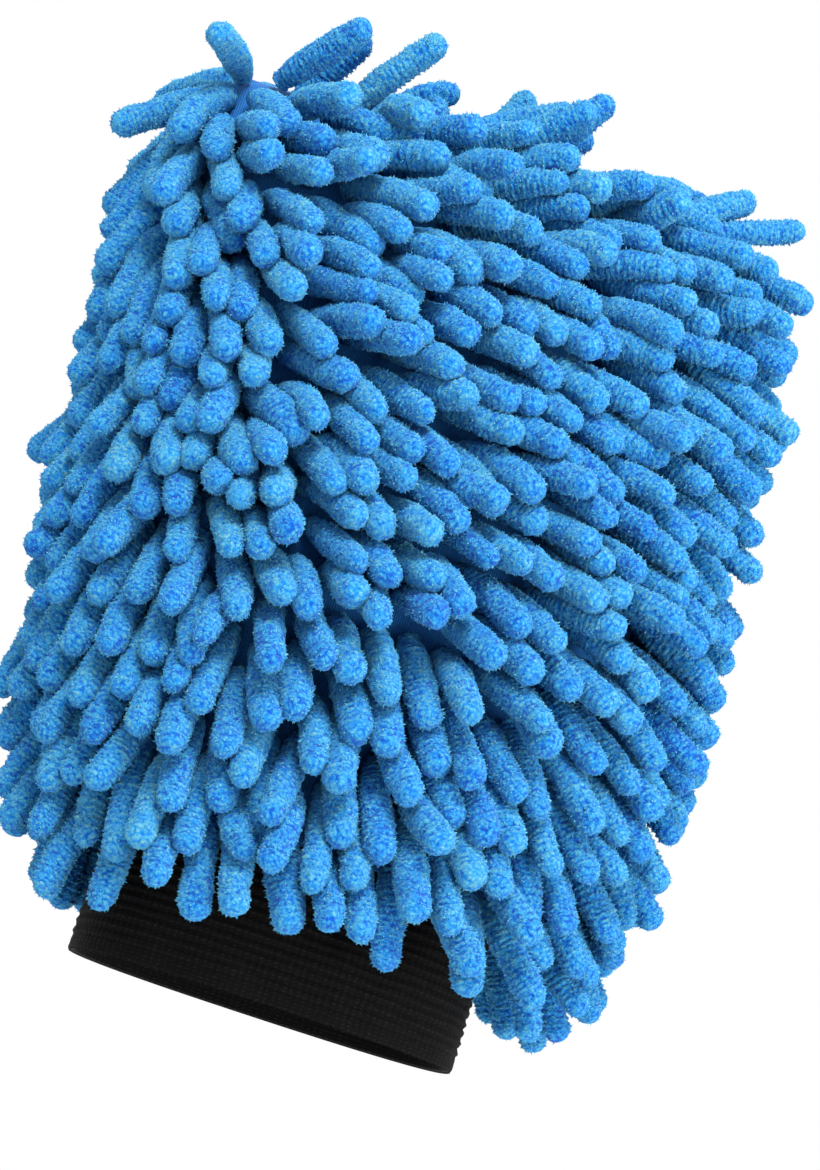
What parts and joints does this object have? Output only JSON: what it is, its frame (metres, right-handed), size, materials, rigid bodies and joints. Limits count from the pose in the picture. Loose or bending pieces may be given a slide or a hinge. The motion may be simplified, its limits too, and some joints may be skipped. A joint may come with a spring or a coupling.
{
  "type": "wash mitt",
  "caption": "Hand-shaped wash mitt with soft chenille noodles all round, a lined pouch and a black elastic cuff, filled out as when worn.",
  "frame": {"origin": "centre of the cuff's mouth, on the plane of its lower edge", "axes": "+Z runs from the cuff to the fingertips, -Y is the front face and +X the mitt's right side as seen from the front"},
  "size_m": [0.1681, 0.1098, 0.2032],
  "materials": {
    "chenille": "fuzzy chenille yarn with fine rings of pile",
    "backing_fabric": "dense warp-knitted polyester",
    "lining_fabric": "smooth tricot knit",
    "binding_tape": "woven tape",
    "seam_thread": "spun polyester thread",
    "cuff_elastic": "ribbed elastic webbing",
    "cuff_thread": "spun polyester thread"
  },
  "bodies": {
    "root": {"front_backing": "backing_fabric", "back_backing": "backing_fabric", "front_lining": "lining_fabric", "back_lining": "lining_fabric", "seam_binding": "binding_tape", "seam_stitches": "seam_thread", "cuff_band": "cuff_elastic", "cuff_side_stitches": "cuff_thread", "cuff_joining_stitches": "cuff_thread", "front_noodles_row_01": "chenille", "front_noodles_row_02": "chenille", "front_noodles_row_03": "chenille", "front_noodles_row_04": "chenille", "front_noodles_row_05": "chenille", "front_noodles_row_06": "chenille", "front_noodles_row_07": "chenille", "front_noodles_row_08": "chenille", "front_noodles_row_09": "chenille", "front_noodles_row_10": "chenille", "front_noodles_row_11": "chenille", "front_noodles_row_12": "chenille", "front_noodles_row_13": "chenille", "front_noodles_row_14": "chenille", "front_noodles_row_15": "chenille", "front_noodles_row_16": "chenille", "front_noodles_row_17": "chenille", "front_noodles_row_18": "chenille", "front_noodles_row_19": "chenille", "front_noodles_row_20": "chenille", "back_noodles_row_01": "chenille", "back_noodles_row_02": "chenille", "back_noodles_row_03": "chenille", "back_noodles_row_04": "chenille", "back_noodles_row_05": "chenille", "back_noodles_row_06": "chenille", "back_noodles_row_07": "chenille", "back_noodles_row_08": "chenille", "back_noodles_row_09": "chenille", "back_noodles_row_10": "chenille", "back_noodles_row_11": "chenille", "back_noodles_row_12": "chenille", "back_noodles_row_13": "chenille", "back_noodles_row_14": "chenille", "back_noodles_row_15": "chenille", "back_noodles_row_16": "chenille", "back_noodles_row_17": "chenille", "back_noodles_row_18": "chenille", "back_noodles_row_19": "chenille", "back_noodles_row_20": "chenille"}
  },
  "joints": []
}
